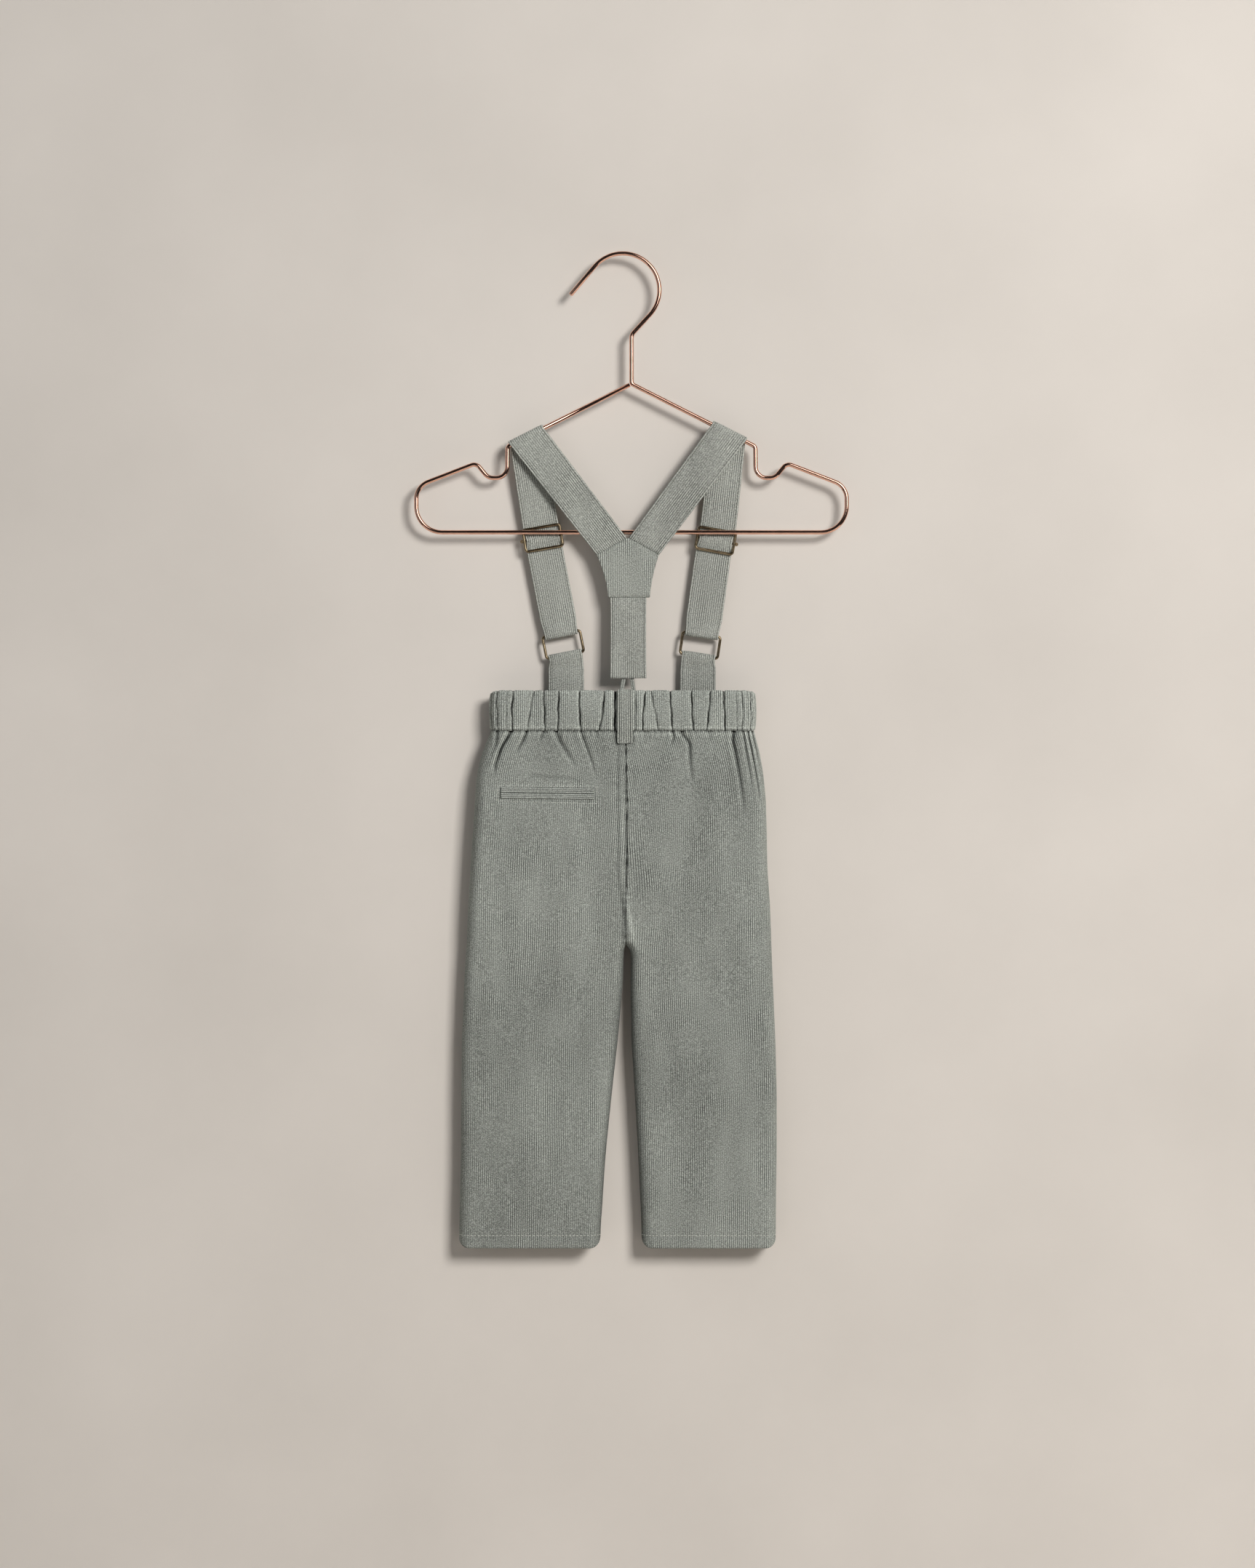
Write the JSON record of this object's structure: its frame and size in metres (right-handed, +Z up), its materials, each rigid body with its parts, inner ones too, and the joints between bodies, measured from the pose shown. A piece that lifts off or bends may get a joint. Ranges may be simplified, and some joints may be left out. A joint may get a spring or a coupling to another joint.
{
  "type": "suspender trousers hanging from a wire hanger",
  "caption": "Child's corduroy trousers seen from the back, with a gathered waist, one jetted pocket and crossed suspender straps looped over a wire hanger",
  "frame": {"origin": "the inside of the hook's crown, where a nail or a rail carries the hanger", "axes": "+Z up, -Y the way the trousers' back faces, +X the wearer's right"},
  "size_m": [0.3018, 0.0254, 0.6916],
  "materials": {
    "corduroy": "fine-wale cotton corduroy, sage grey-green",
    "strap_corduroy": "the same corduroy, cut along its wales and pressed flat",
    "copper_wire": "bright copper plate on steel wire",
    "antique_brass": "darkened brass wire and pins"
  },
  "bodies": {
    "root": {"back_left": "corduroy", "back_right": "corduroy", "front_left": "corduroy", "front_right": "corduroy", "waistband_back": "corduroy", "waistband_front": "corduroy", "belt_loop": "corduroy", "pocket_welt_upper": "corduroy", "pocket_welt_lower": "corduroy", "yoke_patch": "corduroy", "strap_left": "strap_corduroy", "strap_right": "strap_corduroy", "strap_tail": "strap_corduroy", "button_loop": "strap_corduroy", "tab_left": "strap_corduroy", "tab_right": "strap_corduroy", "hanger_hook": "copper_wire", "hanger_left": "copper_wire", "hanger_right": "copper_wire", "hanger_bar": "copper_wire", "slider_frame_left": "antique_brass", "slider_frame_right": "antique_brass", "slider_bar_left": "antique_brass", "slider_bar_right": "antique_brass", "ring_left": "antique_brass", "ring_right": "antique_brass"}
  },
  "joints": []
}
